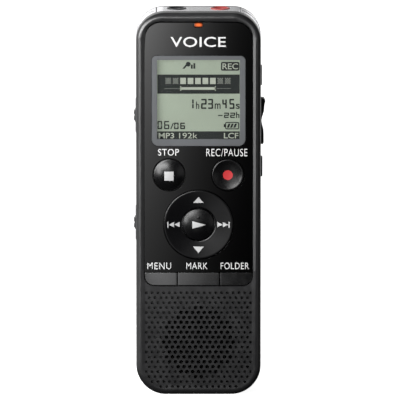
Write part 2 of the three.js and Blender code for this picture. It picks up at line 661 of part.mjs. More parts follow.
const inside = new THREE.Group();
add(inside, "main_board", "board_green", mainBoard());
add(inside, "processor_chip", "chip_black", box(-4.5, 4.5, -3.3, -2.2, 84, 93));
add(inside, "memory_chip", "chip_black", box(-6, 6, -3.3, -2.3, 70, 78));
add(inside, "speaker_cloth", "cloth_black", barY(0, 0, 10.9, -8.9, -8.75, 20), 0, 0, GRILLE.z);
add(inside, "speaker_frame", "spring_steel", speakerFrame(), 0, 0, GRILLE.z);
add(inside, "speaker_cone", "cloth_black", speakerCone(), 0, 0, GRILLE.z);
add(inside, "speaker_magnet", "spring_steel", barY(0, 0, 5.9, -6.7, -4.7, 16), 0, 0, GRILLE.z);

// The cells lie side by side, turned opposite ways. Each presses on a spring at its flat end.
const power = new THREE.Group();
power.position.y = CELL.y;
add(power, "battery_cell_left", "cell_jacket", cell(true), -CELL.x, 0, 17.7);
add(power, "battery_cell_right", "cell_jacket", cell(false), CELL.x, 0, 14.7);
add(power, "battery_spring_lower", "spring_steel", batterySpring(), -CELL.x, 0, 14.95);
add(power, "battery_spring_upper", "spring_steel", batterySpring(), CELL.x, 0, 62.05).rotation.x =
  Math.PI;
const contact = (x0, x1) => box(x0, x1, -3, 3.4, 0, 0.3);
add(power, "contact_bridge", "spring_steel", contact(-9.6, 9.6), 0, 0, 14.2);
add(power, "contact_tab_positive", "spring_steel", contact(-9.6, -1.2), 0, 0, 62.5);
add(power, "contact_tab_negative", "spring_steel", contact(1.2, 9.6), 0, 0, 62.5);

const recorder = new THREE.Group();
recorder.add(shell, display, keys, topEnd, sides, inside, power);
export default recorder;
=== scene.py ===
import math
import bmesh
import bpy
from mathutils import Matrix, Vector


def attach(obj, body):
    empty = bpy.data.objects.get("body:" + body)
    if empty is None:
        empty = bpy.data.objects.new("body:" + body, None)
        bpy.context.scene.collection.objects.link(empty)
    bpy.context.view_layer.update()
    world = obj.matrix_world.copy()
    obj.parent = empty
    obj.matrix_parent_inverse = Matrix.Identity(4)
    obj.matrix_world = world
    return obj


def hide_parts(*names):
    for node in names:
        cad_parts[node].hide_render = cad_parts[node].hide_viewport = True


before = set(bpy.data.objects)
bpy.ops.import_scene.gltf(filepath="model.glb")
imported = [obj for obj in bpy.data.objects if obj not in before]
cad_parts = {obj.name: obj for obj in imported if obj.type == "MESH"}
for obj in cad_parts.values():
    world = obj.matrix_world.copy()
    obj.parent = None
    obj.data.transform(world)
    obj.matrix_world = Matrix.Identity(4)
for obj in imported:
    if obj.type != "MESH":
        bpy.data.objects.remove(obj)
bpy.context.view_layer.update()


# ---------------------------------------------------------------- Studio
# A white seamless floor, a white surround that is brighter on the left, one big softbox high on
# the left and a small fill. The recorder stands on end and the camera looks down on it a little.
def placed(name, data):
    obj = bpy.data.objects.new(name, data)
    bpy.context.scene.collection.objects.link(obj)
    return obj


def studio_camera():
    tilt = math.radians(9.5)
    aim = Vector((0.00045, -0.0105, 0.05838))
    distance = 3.932
    lens = bpy.data.cameras.new("camera")
    lens.lens = 1200
    lens.sensor_width = 36
    lens.clip_start = 0.05
    lens.clip_end = 20
    camera = placed("camera", lens)
    camera.location = aim + distance * Vector((0, -math.cos(tilt), math.sin(tilt)))
    camera.rotation_euler = (math.pi / 2 - tilt, 0, 0)
    bpy.context.scene.camera = camera


def softbox(name, place, aim, width, height, power):
    lamp = bpy.data.lights.new(name, "AREA")
    lamp.shape = "RECTANGLE"
    lamp.size = width
    lamp.size_y = height
    lamp.energy = power
    box = placed(name, lamp)
    box.location = place
    box.rotation_euler = (Vector(aim) - Vector(place)).to_track_quat("-Z", "Y").to_euler()


# Sets a node's sockets, named with _ for each space.
def dial(node, **levels):
    for words, level in levels.items():
        node.inputs[words.replace("_", " ")].default_value = level


def mesh_of(bm, name):
    mesh = bpy.data.meshes.new(name)
    bm.to_mesh(mesh)
    bm.free()
    return mesh


# Where a point is, as three separate numbers.
def position(tree, kind):
    where = tree.nodes.new("ShaderNodeTexCoord")
    split = tree.nodes.new("ShaderNodeSeparateXYZ")
    tree.links.new(where.outputs[kind], split.inputs[0])
    return split.outputs


# A value that goes from one level to another as the source goes from its start to its end.
def remap(tree, source, start, end, low, high, easing="SMOOTHSTEP"):
    ramp = tree.nodes.new("ShaderNodeMapRange")
    ramp.interpolation_type = easing
    tree.links.new(source, ramp.inputs["Value"])
    for socket, value in enumerate((start, end, low, high), 1):
        ramp.inputs[socket].default_value = value
    return ramp.outputs[0]


# One step of arithmetic on sockets or plain numbers.
def arithmetic(tree, operation, *terms):
    step = tree.nodes.new("ShaderNodeMath")
    step.operation = operation
    for socket, term in zip(step.inputs, terms):
        if isinstance(term, float):
            socket.default_value = term
        else:
            tree.links.new(term, socket)
    return step.outputs[0]


def surround():
    world = bpy.data.worlds.new("surround")
    world.use_nodes = True
    tree = world.node_tree
    nodes, links = tree.nodes, tree.links
    nodes.clear()
    out = nodes.new("ShaderNodeOutputWorld")
    seen = nodes.new("ShaderNodeBackground")
    dial(seen, Color=(1, 1, 1, 1), Strength=1.05)
    lit = nodes.new("ShaderNodeBackground")
    x, y, z = position(tree, "Generated")
    left = remap(tree, x, -0.95, 0.8, 1.6, 0.16)
    not_in_front = remap(tree, y, -0.98, -0.1, 0.0, 0.72)
    below_ceiling = remap(tree, z, 0.25, 0.75, 1.0, 0.25)
    above_floor = remap(tree, z, -0.35, -0.05, 0.06, 1.0)
    brightness = arithmetic(tree, "MULTIPLY", left, not_in_front)
    brightness = arithmetic(tree, "MULTIPLY", brightness, below_ceiling)
    brightness = arithmetic(tree, "MULTIPLY", brightness, above_floor)
    # Low down behind the recorder it is dimmer, so that its upright edges stay dark.
    behind = remap(tree, y, 0.3, 0.85, 0.0, -0.8)
    low_down = remap(tree, z, -0.1, 0.1, 1.0, 0.0)
    kept = arithmetic(tree, "MULTIPLY_ADD", behind, low_down, 1.0)
    links.new(arithmetic(tree, "MULTIPLY", brightness, kept), lit.inputs["Strength"])
    ray = nodes.new("ShaderNodeLightPath")
    mix = nodes.new("ShaderNodeMixShader")
    links.new(ray.outputs["Is Camera Ray"], mix.inputs[0])
    links.new(lit.outputs[0], mix.inputs[1])
    links.new(seen.outputs[0], mix.inputs[2])
    links.new(mix.outputs[0], out.inputs["Surface"])
    bpy.context.scene.world = world


def seamless_floor():
    half_width, drop = 3.0, 0.00005
    bm = bmesh.new()
    bmesh.ops.create_grid(bm, x_segments=8, y_segments=8, size=half_width)
    mesh = mesh_of(bm, "floor")
    paper = bpy.data.materials.new("white_paper")
    paper.use_nodes = True
    shader = paper.node_tree.nodes["Principled BSDF"]
    dial(shader, Base_Color=(0.9, 0.9, 0.9, 1), Roughness=0.9, Specular_IOR_Level=0)
    dial(shader, Emission_Color=(1, 1, 1, 1), Emission_Strength=0.93)
    mesh.materials.append(paper)
    floor = placed("floor", mesh)
    floor.location.z = -drop
    floor.visible_glossy = False
    floor.visible_diffuse = False


# A dim glowing card in front of the panel. Only polished surfaces see it: it puts the soft light
# that fades from the top left into the black gloss, and lights nothing.
def gloss_card():
    half_width, half_height, place = 0.03, 0.05, (0, -0.11, 0.052)
    bm = bmesh.new()
    bmesh.ops.create_grid(bm, x_segments=2, y_segments=2, size=1)
    bmesh.ops.rotate(bm, matrix=Matrix.Rotation(math.pi / 2, 3, "X"), verts=bm.verts)
    bmesh.ops.scale(bm, vec=(half_width, 1, half_height), verts=bm.verts)
    bmesh.ops.translate(bm, vec=place, verts=bm.verts)
    mesh = mesh_of(bm, "gloss_card")
    glow = bpy.data.materials.new("card_glow")
    glow.use_nodes = True
    tree = glow.node_tree
    nodes, links = tree.nodes, tree.links
    nodes.clear()
    x, _, z = position(tree, "Object")
    # The glow falls off as a bell across the card and grows with height, up to a brightest level.
    bell, tilt, growth, level, brightest = -2200.0, -118.0, 24.0, -2.4, 4.0
    across = arithmetic(tree, "MULTIPLY", x, arithmetic(tree, "MULTIPLY_ADD", x, bell, tilt))
    up = arithmetic(tree, "MULTIPLY_ADD", z, growth, level)
    strength = arithmetic(tree, "EXPONENT", arithmetic(tree, "ADD", across, up))
    strength = arithmetic(tree, "MINIMUM", strength, brightest)
    sides = remap(tree, arithmetic(tree, "ABSOLUTE", x), 0.0165, 0.029, 1.0, 0.0)
    emit = nodes.new("ShaderNodeEmission")
    links.new(arithmetic(tree, "MULTIPLY", strength, sides), emit.inputs["Strength"])
    out = nodes.new("ShaderNodeOutputMaterial")
    links.new(emit.outputs[0], out.inputs["Surface"])
    mesh.materials.append(glow)
    card = placed("gloss_card", mesh)
    card.visible_camera = False
    card.visible_diffuse = False
    card.visible_shadow = False
    card.visible_transmission = False


bpy.context.scene.view_settings.view_transform = "Standard"
studio_camera()
surround()
seamless_floor()
gloss_card()
softbox("key", (-0.14, -0.31, 0.21), (0, 0, 0.07), 0.22, 0.13, 1.03)
softbox("strip", (-0.25, -0.34, 0.1), (0, 0, 0.07), 0.1, 0.14, 0.42)
softbox("overhead", (-0.02, -0.12, 0.7), (0, 0, 0.05), 0.3, 0.1, 0.12)
softbox("left_wall", (-0.2, -0.12, 0.17), (-0.018, 0, 0.08), 0.09, 0.14, 0.55)
softbox("fill", (0.5, -0.6, 0.1), (0, 0, 0.06), 0.3, 0.4, 0.16)
softbox("back_right", (0.42, 0.72, 0.1), (0, 0, 0.06), 0.6, 0.6, 1.3)
softbox("back_left", (-0.3, 0.8, 0.12), (0, 0, 0.06), 0.6, 0.6, 0.8)


# ---------------------------------------------------------------- Front case
# One moulding in fine-grained black ABS: a raised rim, a sunken bed for the panel and keys, and a
# grille face with through holes over the speaker and shallow dimples round them.
def moulded(name, colour, roughness, grain=0.12, relief=0.004, wear=0.0, blotch=0.12, shine=0.5):
    finish = bpy.data.materials.new(name)
    finish.use_nodes = True
    tree = finish.node_tree
    nodes, links = tree.nodes, tree.links
    shader = nodes["Principled BSDF"]
    where = nodes.new("ShaderNodeTexCoord")

    def noise(scale, detail, rough=0.55):
        speckle = nodes.new("ShaderNodeTexNoise")
        dial(speckle, Scale=scale, Detail=detail, Roughness=rough)
        links.new(where.outputs["Object"], speckle.inputs["Vector"])
        return speckle.outputs["Fac"]

    def between(source, low, high, start=0.3, end=0.7):
        return remap(tree, source, start, end, low, high, "LINEAR")

    def two_colours(factor):
        tint = nodes.new("ShaderNodeMix")
        tint.data_type = "RGBA"
        links.new(factor, tint.inputs["Factor"])
        return tint

    grains, clouds, rubs = noise(1000 / grain, 3), noise(90, 4), noise(420, 5, 0.65)
    tint = two_colours(between(clouds, 0, 1))
    tint.inputs["A"].default_value = (*[c * (1 - blotch) for c in colour], 1)
    tint.inputs["B"].default_value = (*[c * (1 + blotch) for c in colour], 1)
    shown = tint.outputs["Result"]
    if wear:
        shape = nodes.new("ShaderNodeNewGeometry")
        edge = between(shape.outputs["Pointiness"], 0, wear, 0.52, 0.62)
        worn = two_colours(arithmetic(tree, "MULTIPLY", edge, between(rubs, 0.2, 1)))
        worn.inputs["B"].default_value = (*[min(1, c * 2.2 + 0.012) for c in colour], 1)
        links.new(shown, worn.inputs["A"])
        shown = worn.outputs["Result"]
    links.new(shown, shader.inputs["Base Color"])
    links.new(between(rubs, roughness * 0.85, roughness * 1.15), shader.inputs["Roughness"])
    bump = nodes.new("ShaderNodeBump")
    dial(bump, Strength=0.6, Distance=relief / 1000)
    links.new(grains, bump.inputs["Height"])
    links.new(bump.outputs[0], shader.inputs["Normal"])
    shader.inputs["Specular IOR Level"].default_value = shine
    return finish


def block(x0, x1, y0, y1, z0, z1, low_r=0.0, high_r=0.0, chords=12):
    bm = bmesh.new()
    bmesh.ops.create_cube(bm, size=1)
    bmesh.ops.scale(bm, vec=(x1 - x0, y1 - y0, z1 - z0), verts=bm.verts)
    bmesh.ops.translate(bm, vec=((x0 + x1) / 2, (y0 + y1) / 2, (z0 + z1) / 2), verts=bm.verts)
    for z, radius in ((z0, low_r), (z1, high_r)):
        if radius:
            level = edges_where(bm, lambda co: near(co.z, z))
            corners = [e for e in level if not near(e.verts[0].co.y, e.verts[1].co.y)]
            round_off(bm, corners, radius, chords)
    return bm


def near(a, b):
    return abs(a - b) < 1e-4


def edges_where(bm, test):
    return [e for e in bm.edges if all(test(v.co) for v in e.verts)]


def round_off(bm, edges, radius, chords=3):
    bmesh.ops.bevel(
        bm,
        geom=edges,
        offset=radius,
        offset_type="OFFSET",
        segments=chords,
        profile=0.5,
        affect="EDGES",
        material=-1,
        clamp_overlap=True,
    )


def rim_at(bm, y):
    return edges_where(bm, lambda co: near(co.y, y))


def rod(bm, radius, length, matrix, sides, tip=None):
    bmesh.ops.create_cone(
        bm,
        cap_ends=True,
        segments=sides,
        radius1=radius if tip is None else tip,
        radius2=radius,
        depth=length,
        matrix=matrix,
    )


def peg(x, z, radius, y0, y1, sides=48, tip=None):
    bm = bmesh.new()
    place = Matrix.Translation((x, (y0 + y1) / 2, z)) @ Matrix.Rotation(math.pi / 2, 4, "X")
    rod(bm, radius, y1 - y0, place, sides, tip)
    return bm


def together(parts):
    whole = bmesh.new()
    for bm in parts:
        mesh = mesh_of(bm, "joined")
        whole.from_mesh(mesh)
        bpy.data.meshes.remove(mesh)
    return whole


# The final shape of an object with its modifiers, or of a text or curve, as a bmesh.
def settled(obj):
    bpy.context.view_layer.update()
    shown = obj.evaluated_get(bpy.context.evaluated_depsgraph_get())
    mesh = bpy.data.meshes.new_from_object(shown)
    bm = bmesh.new()
    bm.from_mesh(mesh)
    bpy.data.meshes.remove(mesh)
    return bm


def carve(bm, *cutters, operation="DIFFERENCE"):
    made = []
    for shape in (bm, *cutters):
        made.append(placed("carving", mesh_of(shape, "carving")))
    for cutter in made[1:]:
        tool = made[0].modifiers.new("carve", "BOOLEAN")
        tool.operation = operation
        tool.solver = "EXACT"
        tool.object = cutter
    carved = settled(made[0])
    for obj in made:
        mesh = obj.data
        bpy.data.objects.remove(obj)
        bpy.data.meshes.remove(mesh)
    bmesh.ops.remove_doubles(carved, verts=carved.verts, dist=1e-4)
    return carved


def piece(name, bm, finish, body="case", stands_for=(), edge=0.0):
    bmesh.ops.scale(bm, vec=(0.001, 0.001, 0.001), verts=bm.verts)
    mesh = mesh_of(bm, name)
    mesh.materials.append(finish)
    mesh.shade_smooth()
    mesh.set_sharp_from_angle(angle=math.radians(38))
    obj = placed(name, mesh)
    if edge:
        rounding = obj.modifiers.new("rounded_edges", "BEVEL")
        rounding.width = edge / 1000
        rounding.segments = 2
        rounding.limit_method = "ANGLE"
        rounding.angle_limit = math.radians(40)
    flatten = obj.modifiers.new("even_shading", "WEIGHTED_NORMAL")
    flatten.keep_sharp = True
    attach(obj, body)
    if stands_for:
        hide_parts(*stands_for)
    return obj


def body_block(inset, front, back, chords=16):
    half_width, height, low_r, high_r = 18.4 - inset, 114 - inset, 8.8 - inset, 8.2 - inset
    return block(-half_width, half_width, front, back, inset, height, low_r, high_r, chords)


def grille_cutters():
    pitch, top_row, farthest = 1.71, 30.6, 15.6
    corner_x, corner_z, corner_r = 9.6, 8.8, 6.6
    speaker, reach = Vector((0, 15.8)), 10.65
    through, dimples = [], []
    for row in range(20):
        z = top_row - row * pitch * math.sin(math.pi / 3)
        shift = pitch / 2 if row % 2 else 0
        for column in range(-9, 10):
            x = column * pitch + shift
            if x > farthest:
                continue
            corner = Vector((max(abs(x) - corner_x, 0), max(corner_z - z, 0)))
            if corner.length > corner_r:
                continue
            if (Vector((x, z)) - speaker).length < reach:
                through.append(peg(x, z, 0.56, -12, -7, 16))
            else:
                dimples.append(peg(x, z, 0.45, -10.6, -9.12, 12, tip=0.36))
    return together(through), together(dimples)


def flared_mouth():
    mouth = together([
        block(-17.3, 17.3, -10.7, -10.66, 37.2, 112.95, 0, 6.2),
        block(-16.12, 16.12, -10.34, -10.2, 37.2, 111.7, 0, 5.05),
    ])
    hull = set(bmesh.ops.convex_hull(mouth, input=mouth.verts)["geom"])
    spare = [f for f in mouth.faces if f not in hull]
    bmesh.ops.delete(mouth, geom=spare, context="FACES")
    return mouth


# The round keys' centres, the ring's height and the strap pocket, which the panel, the keys and
# the strap bar share with the case.
KEY_X, KEY_Z, RING_Z = 8.66, 65.85, 50.95
STRAP_POCKET = (-3.6, 1.8, 100.4, 102.9)


def front_case():
    front, wall = -10.5, 1.5
    shell = body_block(0, front, 3.4)
    round_off(shell, rim_at(shell, front), 1.5, 6)
    face = [f for f in shell.faces if all(near(v.co.y, front) for v in f.verts)]
    bmesh.ops.inset_region(shell, faces=face, thickness=0.3, use_even_offset=True)
    bmesh.ops.inset_region(shell, faces=face, thickness=0.9, depth=-0.1, use_even_offset=True)
    holes, dimples = grille_cutters()
    side_slots = together([
        block(-18.8, -16.9, -2.6, 0.6, 75.7, 88.9),
        block(-18.8, -16.9, -2.6, 0.6, 43.6, 56.8),
        block(16.8, 18.8, -2.6, 0.6, 91.1, 97.4),
        block(16.8, 18.8, -2.6, 0.6, 63.85, 70.15),
        block(16.8, 18.8, -2.8, 0.8, 73.5, 87.8),
        block(-18.8, -16.8, -3.45, 0.75, 65.5, 73.5),
    ])
    bed_openings = together([
        block(-14.4, 14.4, -9, -7, 73.8, 102.0),
        peg(-KEY_X, KEY_Z, 4.98, -9, -7),
        peg(KEY_X, KEY_Z, 4.98, -9, -7),
        peg(0, RING_Z, 10.48, -9, -7, 72),
        block(-15.95, 15.95, -9, -7, 32.65, 36.6),
        peg(0, 110.5, 0.9, -9, -7, 16),
    ])
    return carve(
        shell,
        body_block(wall, -7.7, 5),
        block(-16.6, 16.6, -9.0, -7, 2.0, 31.0, 7.0, 0.4),
        block(-16.12, 16.12, -12, -8.7, 32.5, 111.7, 3.1, 5.05),
        flared_mouth(),
        bed_openings,
        block(-20, 20, -6.1, 5, 103.2, 116),
        side_slots,
        block(-20, -16.1, *STRAP_POCKET),
        dimples,
        holes,
    )


case_plastic = moulded(
    "case_plastic", (0.0104, 0.0104, 0.0112), 0.36, grain=0.16, relief=0.006, wear=0.3, shine=0.95
)
piece("front_shell", front_case(), case_plastic, stands_for=["front_case"])


# ---------------------------------------------------------------- Strap bar
# A round bar moulded across the pocket at the left shoulder, in one with the case. A wrist strap
# can be looped round it.
def strap_bar():
    bar = bmesh.new()
    rod(bar, 0.55, 2.9, Matrix.Translation((-17.7, -0.9, 101.65)), 24)
    pocket = block(-17.1, -15.2, -4.2, 2.4, 99.6, 103.0)
    return together([carve(pocket, block(-18, -16.1, *STRAP_POCKET)), bar])


piece("strap_bar", strap_bar(), case_plastic)


# ---------------------------------------------------------------- Back case
# The deeper black moulding, full and round at its edges, with the battery tub, the lid's seat and
# hinge bearings, and four counterbored screw holes.
SCREWS = {
    "top_left": (-12.2, 104.0),
    "top_right": (12.2, 104.0),
    "bottom_left": (-11.8, 7.8),
    "bottom_right": (11.8, 7.8),
}


def back_case():
    seam, moulded_depth, true_depth = 3.6, 4.5, 6.9
    shell = body_block(0, -4, 8.1, 18)
    round_off(shell, rim_at(shell, 8.1), 4.45, 10)
    shell = carve(shell, block(-20, 20, -6, seam, -2, 116))
    for v in shell.verts:
        if v.co.y > seam:
            v.co.y = seam + (v.co.y - seam) * true_depth / moulded_depth
    inner = body_block(1.5, -4, 8.6)
    round_off(inner, rim_at(inner, 8.6), 3.4, 6)
    tub = block(-12.9, 12.9, -2.9, 9.6, 10.6, 65.4)
    shell = carve(carve(shell, inner), tub, operation="UNION")
    shell = carve(
        shell,
        block(-11.2, 11.2, -1.8, 12, 14.0, 63.2),
        block(-12.6, 12.6, 9.2, 12, 11.8, 64.7, 0, 1.6),
        block(-12.6, 12.6, 7.9, 12, 11.8, 14.6),
        together([peg(x, z, 1.75, 9.4, 12, 32) for x, z in SCREWS.values()]),
    )
    tongue = carve(body_block(0.5, 3.3, 3.7), body_block(1.4, 3, 4))
    return together([shell, tongue])


piece("back_shell", back_case(), case_plastic, stands_for=["back_case"])


# ---------------------------------------------------------------- Battery lid
# A flat black plate with a softened edge, four thumb grooves near its top, a hinge barrel along
# its bottom and a snap tab behind its top.
def battery_lid():
    plate = block(-12.4, 12.4, 9.3, 10.5, 13.2, 64.4, 0, 1.5)
    barrel = bmesh.new()
    hinge = Matrix.Translation((0, 9.3, 13.2)) @ Matrix.Rotation(math.pi / 2, 4, "Y")
    for radius, width in ((1.2, 24.8), (0.6, 26.8)):
        rod(barrel, radius, width, hinge, 32)
    latch = block(-2, 2, 7.8, 9.6, 62.0, 62.9)
    rows = [60.2 - n * 1.3 for n in range(4)]
    grooves = together([block(-4.5, 4.5, 10.1, 11, z, z + 0.6) for z in rows])
    plate = carve(plate, latch, operation="UNION")
    return together([carve(plate, grooves), barrel])


lid_plastic = moulded(
    "lid_plastic", (0.026, 0.026, 0.0273), 0.36, grain=0.16, relief=0.006, shine=0.5
)
piece(
    "lid",
    battery_lid(),
    lid_plastic,
    body="battery_lid",
    stands_for=["battery_lid"],
    edge=0.18,
)


# ---------------------------------------------------------------- Case screws
# Four small cross-recess screws in nickel-plated steel, sunk below the back. They pull the back
# case on to bosses in the front case.
def place_of(nodes):
    return next(n for n in nodes if n.type == "TEX_COORD").outputs["Object"]


def metal(name, colour, roughness, grain=0.3, relief=0.002, stretch=(1, 1, 1)):
    finish = moulded(name, colour, roughness, grain, relief, blotch=0.08)
    nodes, links = finish.node_tree.nodes, finish.node_tree.links
    nodes["Principled BSDF"].inputs["Metallic"].default_value = 1.0
    drawn = nodes.new("ShaderNodeMapping")
    drawn.inputs["Scale"].default_value = stretch
    links.new(place_of(nodes), drawn.inputs["Vector"])
    for speckle in [n for n in nodes if n.type == "TEX_NOISE"]:
        links.new(drawn.outputs[0], speckle.inputs["Vector"])
    return finish


def case_screw(x, z):
    head_r, top, arm, half_slot = 1.5, 10.2, 0.8, 0.17
    head = peg(x, z, head_r, 9.5, top, 32)
    round_off(head, rim_at(head, top), 0.2, 3)
    return carve(
        head,
        block(x - arm, x + arm, 9.8, 11, z - half_slot, z + half_slot),
        block(x - half_slot, x + half_slot, 9.8, 11, z - arm, z + arm),
    )


nickel = metal("nickel", (0.55, 0.55, 0.54), 0.28)
for word, place in SCREWS.items():
    replaced = [f"case_screw_{word}"]
    piece(f"screw_{word}", case_screw(*place), nickel, stands_for=replaced)


# ---------------------------------------------------------------- Front panel
# Polished black acrylic, 1.3 mm thick, with cut-outs for the window, keys, ring and lamp. Its
# edges are barely broken, so they catch a hairline of light.
PANEL_Y = -10.2


def front_panel():
    sheet = block(-15.85, 15.85, PANEL_Y, -8.9, 36.8, 111.4, 0.25, 4.85, 14)
    sides_and_top = [e for e in rim_at(sheet, PANEL_Y) if all(v.co.z > 37.2 for v in e.verts)]
    round_off(sheet, sides_and_top, 0.2, 1)
    return carve(
        sheet,
        block(-13.85, 13.85, -12, -8, 74.4, 101.4, 2.1, 1.5),
        together([
            peg(-KEY_X, KEY_Z, 4.98, -12, -8, 72),
            peg(KEY_X, KEY_Z, 4.98, -12, -8, 72),
            peg(0, RING_Z, 10.48, -12, -8, 120),
            block(-1.4, 1.4, -12, -8, 109.75, 111.25, 0.5, 0.5, 6),
        ]),
    )


panel_gloss = moulded(
    "panel_gloss", (0.0008, 0.0008, 0.0009), 0.05, grain=1.2, relief=0.0001, blotch=0.2
)
piece("panel", front_panel(), panel_gloss, stands_for=["front_panel"], edge=0.07)


# ---------------------------------------------------------------- Display window
# A clear acrylic pane in the panel's opening, glued to the screen frame. It is printed grey round
# its edge on the outside face.
def clear_acrylic():
    finish = moulded(
        "clear_acrylic", (0.05, 0.055, 0.05), 0.03, grain=2.0, relief=0.0001, blotch=0.02
    )
    finish.node_tree.nodes["Principled BSDF"].inputs["Alpha"].default_value = 0.02
    return finish


def window_border():
    ring = block(-13.74, 13.74, -10.19, -10.05, 74.5, 101.3, 2.0, 1.4)
    return carve(ring, block(-12.2, 12.2, -12, -8, 76.5, 100.1, 0.12, 0.12, 3))


piece(
    "window_pane",
    block(-13.74, 13.74, -10.04, -9.02, 74.5, 101.3, 2.0, 1.4),
    clear_acrylic(),
    stands_for=["display_window"],
)
border_print = moulded("border_print", (0.103, 0.108, 0.114), 0.4, grain=0.3, relief=0.0005)
border = piece("window_border", window_border(), border_print, edge=0.05)
border.visible_shadow = False


# ---------------------------------------------------------------- Screen
# A reflective grey-green LCD. Its dots are drawn as thin dark marks on the glass: a level meter,
# the time, the track count, the battery and the recording mode.
GLASS_Y, DARK_Y, PALE_Y = -8.68, -8.73, -8.77


def slab(x0, x1, z0, z1, slant=0.0):
    bm = block(x0, x1, DARK_Y, GLASS_Y, z0, z1)
    if slant:
        for v in bm.verts:
            v.co.x += slant * (v.co.z - z0)
    return bm


SEGMENTS = {
    "0": "abcdef", "1": "bc", "2": "abged", "3": "abgcd", "4": "fgbc", "5": "afgcd", "6": "afgedc",
}


def digit(symbol, x0, x1, z0, z1, stroke):
    middle, half, gap = (z0 + z1) / 2, stroke / 2, stroke * 0.22
    bars = {
        "a": (x0 + gap, x1 - gap, z1 - stroke, z1),
        "b": (x1 - stroke, x1, middle + gap, z1 - gap * 2),
        "c": (x1 - stroke, x1, z0 + gap * 2, middle - gap),
        "d": (x0 + gap, x1 - gap, z0, z0 + stroke),
        "e": (x0, x0 + stroke, z0 + gap * 2, middle - gap),
        "f": (x0, x0 + stroke, middle + gap, z1 - gap * 2),
        "g": (x0 + gap, x1 - gap, middle - half, middle + half),
    }
    return [slab(*bars[bar]) for bar in SEGMENTS[symbol]]


# Pulls every face of a flat or curved sheet out into a solid of one thickness.
def thicken(bm, shift):
    grown = bmesh.ops.extrude_face_region(bm, geom=bm.faces[:])
    moved = [v for v in grown["geom"] if isinstance(v, bmesh.types.BMVert)]
    bmesh.ops.translate(bm, vec=(0, shift, 0), verts=moved)


def curve_shape(curve):
    obj = placed(curve.name, curve)
    bm = settled(obj)
    bpy.data.objects.remove(obj)
    bpy.data.curves.remove(curve)
    return bm


def lettering(text, x0, x1, z0, z1, y, bold=0.0, depth=0.03, spacing=1.0):
    curve = bpy.data.curves.new("letters", "FONT")
    curve.body = text
    curve.offset = bold
    curve.space_character = spacing
    curve.resolution_u = 4
    bm = curve_shape(curve)
    low = Vector([min(v.co[i] for v in bm.verts) for i in range(2)])
    high = Vector([max(v.co[i] for v in bm.verts) for i in range(2)])
    size = high - low
    bmesh.ops.translate(bm, vec=(-low.x, -low.y, 0), verts=bm.verts)
    bmesh.ops.scale(bm, vec=((x1 - x0) / size.x, (z1 - z0) / size.y, 1), verts=bm.verts)
    bmesh.ops.rotate(bm, matrix=Matrix.Rotation(math.pi / 2, 3, "X"), verts=bm.verts)
    bmesh.ops.translate(bm, vec=(x0, y, z0), verts=bm.verts)
    thicken(bm, -depth)
    bmesh.ops.remove_doubles(bm, verts=bm.verts, dist=1e-5)
    bmesh.ops.recalc_face_normals(bm, faces=bm.faces)
    return bm


def dark_marks():
    # The microphone sign, the rounded patch behind REC, and the two dark bands.
    marks = [peg(-3.02, 98.65, 0.7, DARK_Y, GLASS_Y, 20), slab(-4.75, -4.1, 97.3, 98.5, 0.8)]
    marks += [slab(-2.22, -1.7, 97.3, 98.5), slab(-1.5, -0.95, 97.3, 98.95)]
    marks.append(block(6.62, 12.06, DARK_Y, GLASS_Y, 96.7, 99.32, 0.45, 0.45, 4))
    marks.append(slab(-12.1, 12.12, 89.85, 95.55))
    marks.append(slab(-12.17, 12.12, 76.1, 78.6))
    # The running time, with its small unit letters.
    low, height = 85.3, 3.0
    for symbol, x0, x1 in (
        ("1", -2.0, -1.42),
        ("2", 0.74, 2.42),
        ("3", 2.75, 4.3),
        ("4", 7.0, 8.35),
        ("5", 9.08, 10.6),
    ):
        marks += digit(symbol, x0, x1, low, low + height, 0.45)
    units = (("h", -0.72, 0.2, 87.5), ("m", 4.8, 6.5, 86.95), ("s", 11.0, 12.15, 86.85))
    for unit, x0, x1, top in units:
        marks.append(lettering(unit, x0, x1, low, top, GLASS_Y, bold=0.01, depth=0.05))
    # The time left.
    marks.append(slab(5.77, 7.1, 83.2, 83.5))
    for x in (7.5, 9.32):
        marks += digit("2", x, x + 1.48, 82.6, 84.2, 0.34)
    marks.append(lettering("h", 11.05, 12.05, 82.6, 84.4, GLASS_Y, bold=0.02, depth=0.05))
    # The track count.
    for symbol, x0, x1, top in (
        ("0", -12.1, -10.7, 81.7),
        ("6", -10.15, -8.6, 81.7),
        ("0", -7.2, -5.85, 81.2),
        ("6", -5.4, -3.95, 81.2),
    ):
        marks += digit(symbol, x0, x1, 79.25, top, 0.37)
    marks.append(slab(-8.32, -8.0, 79.25, 81.1, 0.4))
    # The battery sign and its three bars.
    battery = block(7.85, 11.98, DARK_Y, GLASS_Y, 79.2, 81.4, 0.45, 0.45, 3)
    marks.append(carve(battery, block(8.12, 11.7, -9.5, -8, 79.48, 81.12, 0.2, 0.2, 3)))
    marks.append(slab(7.45, 7.92, 79.85, 80.75))
    marks += [slab(x, x + 0.62, 79.7, 80.9, 0.4) for x in (8.35, 9.3, 10.25)]
    return together(marks)


# The level meter's nine squares: five are lit, and the two at each end are only dotted.
METER_X, METER_PITCH = -8.92, 2.192


